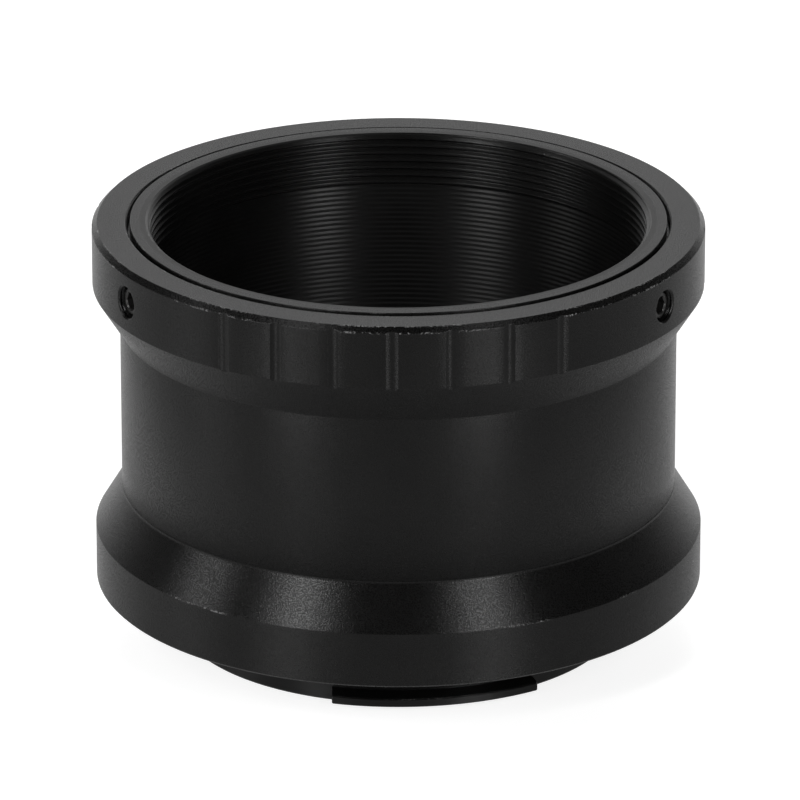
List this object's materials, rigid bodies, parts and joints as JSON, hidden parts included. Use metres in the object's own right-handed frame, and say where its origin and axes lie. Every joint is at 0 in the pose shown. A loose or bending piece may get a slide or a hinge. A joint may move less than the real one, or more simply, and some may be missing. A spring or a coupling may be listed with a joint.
{
  "type": "telescope camera adapter",
  "caption": "Hollow black adapter tube with a female telescope thread ring held by set screws in a fluted collar, a waisted ribbed barrel, a coned rim and a lens bayonet.",
  "frame": {"origin": "centre of the bayonet neck's free end, where the part stands", "axes": "+Z along the optical axis, towards the telescope; -Y is the side with the grip flutes seen from the front"},
  "size_m": [0.0584, 0.0584, 0.0411],
  "materials": {
    "black_anodised": "bead-blasted and black anodised, satin",
    "ring_anodised": "fine-turned and black anodised, satin",
    "bayonet_anodised": "turned and black anodised, satin",
    "screw_steel": "black oxide",
    "index_red": "red enamel"
  },
  "bodies": {
    "adapter_body": {"front_barrel": "black_anodised", "rear_flange": "black_anodised", "bayonet_ring": "bayonet_anodised", "index_bead": "index_red", "plate_screw_1": "screw_steel", "plate_screw_2": "screw_steel", "plate_screw_3": "screw_steel", "plate_screw_4": "screw_steel", "plate_screw_5": "screw_steel", "plate_screw_6": "screw_steel"},
    "thread_ring": {"thread_ring": "ring_anodised"},
    "set_screw_1": {"set_screw_1": "screw_steel"},
    "set_screw_2": {"set_screw_2": "screw_steel"},
    "set_screw_3": {"set_screw_3": "screw_steel"}
  },
  "joints": [
    {"name": "thread_ring_turn", "type": "hinge", "parent": "adapter_body", "child": "thread_ring", "pos_m": [0, 0, 0.03588], "axis": [0, 0, 1], "continuous": true},
    {"name": "set_screw_1_travel", "type": "slide", "parent": "adapter_body", "child": "set_screw_1", "axis": [-0.8757, -0.4828, 0], "range_m": [0, 0.001]},
    {"name": "set_screw_2_travel", "type": "slide", "parent": "adapter_body", "child": "set_screw_2", "axis": [0.856, -0.517, 0], "range_m": [0, 0.001]},
    {"name": "set_screw_3_travel", "type": "slide", "parent": "adapter_body", "child": "set_screw_3", "axis": [0.0197, 0.9998, 0], "range_m": [0, 0.001]}
  ]
}
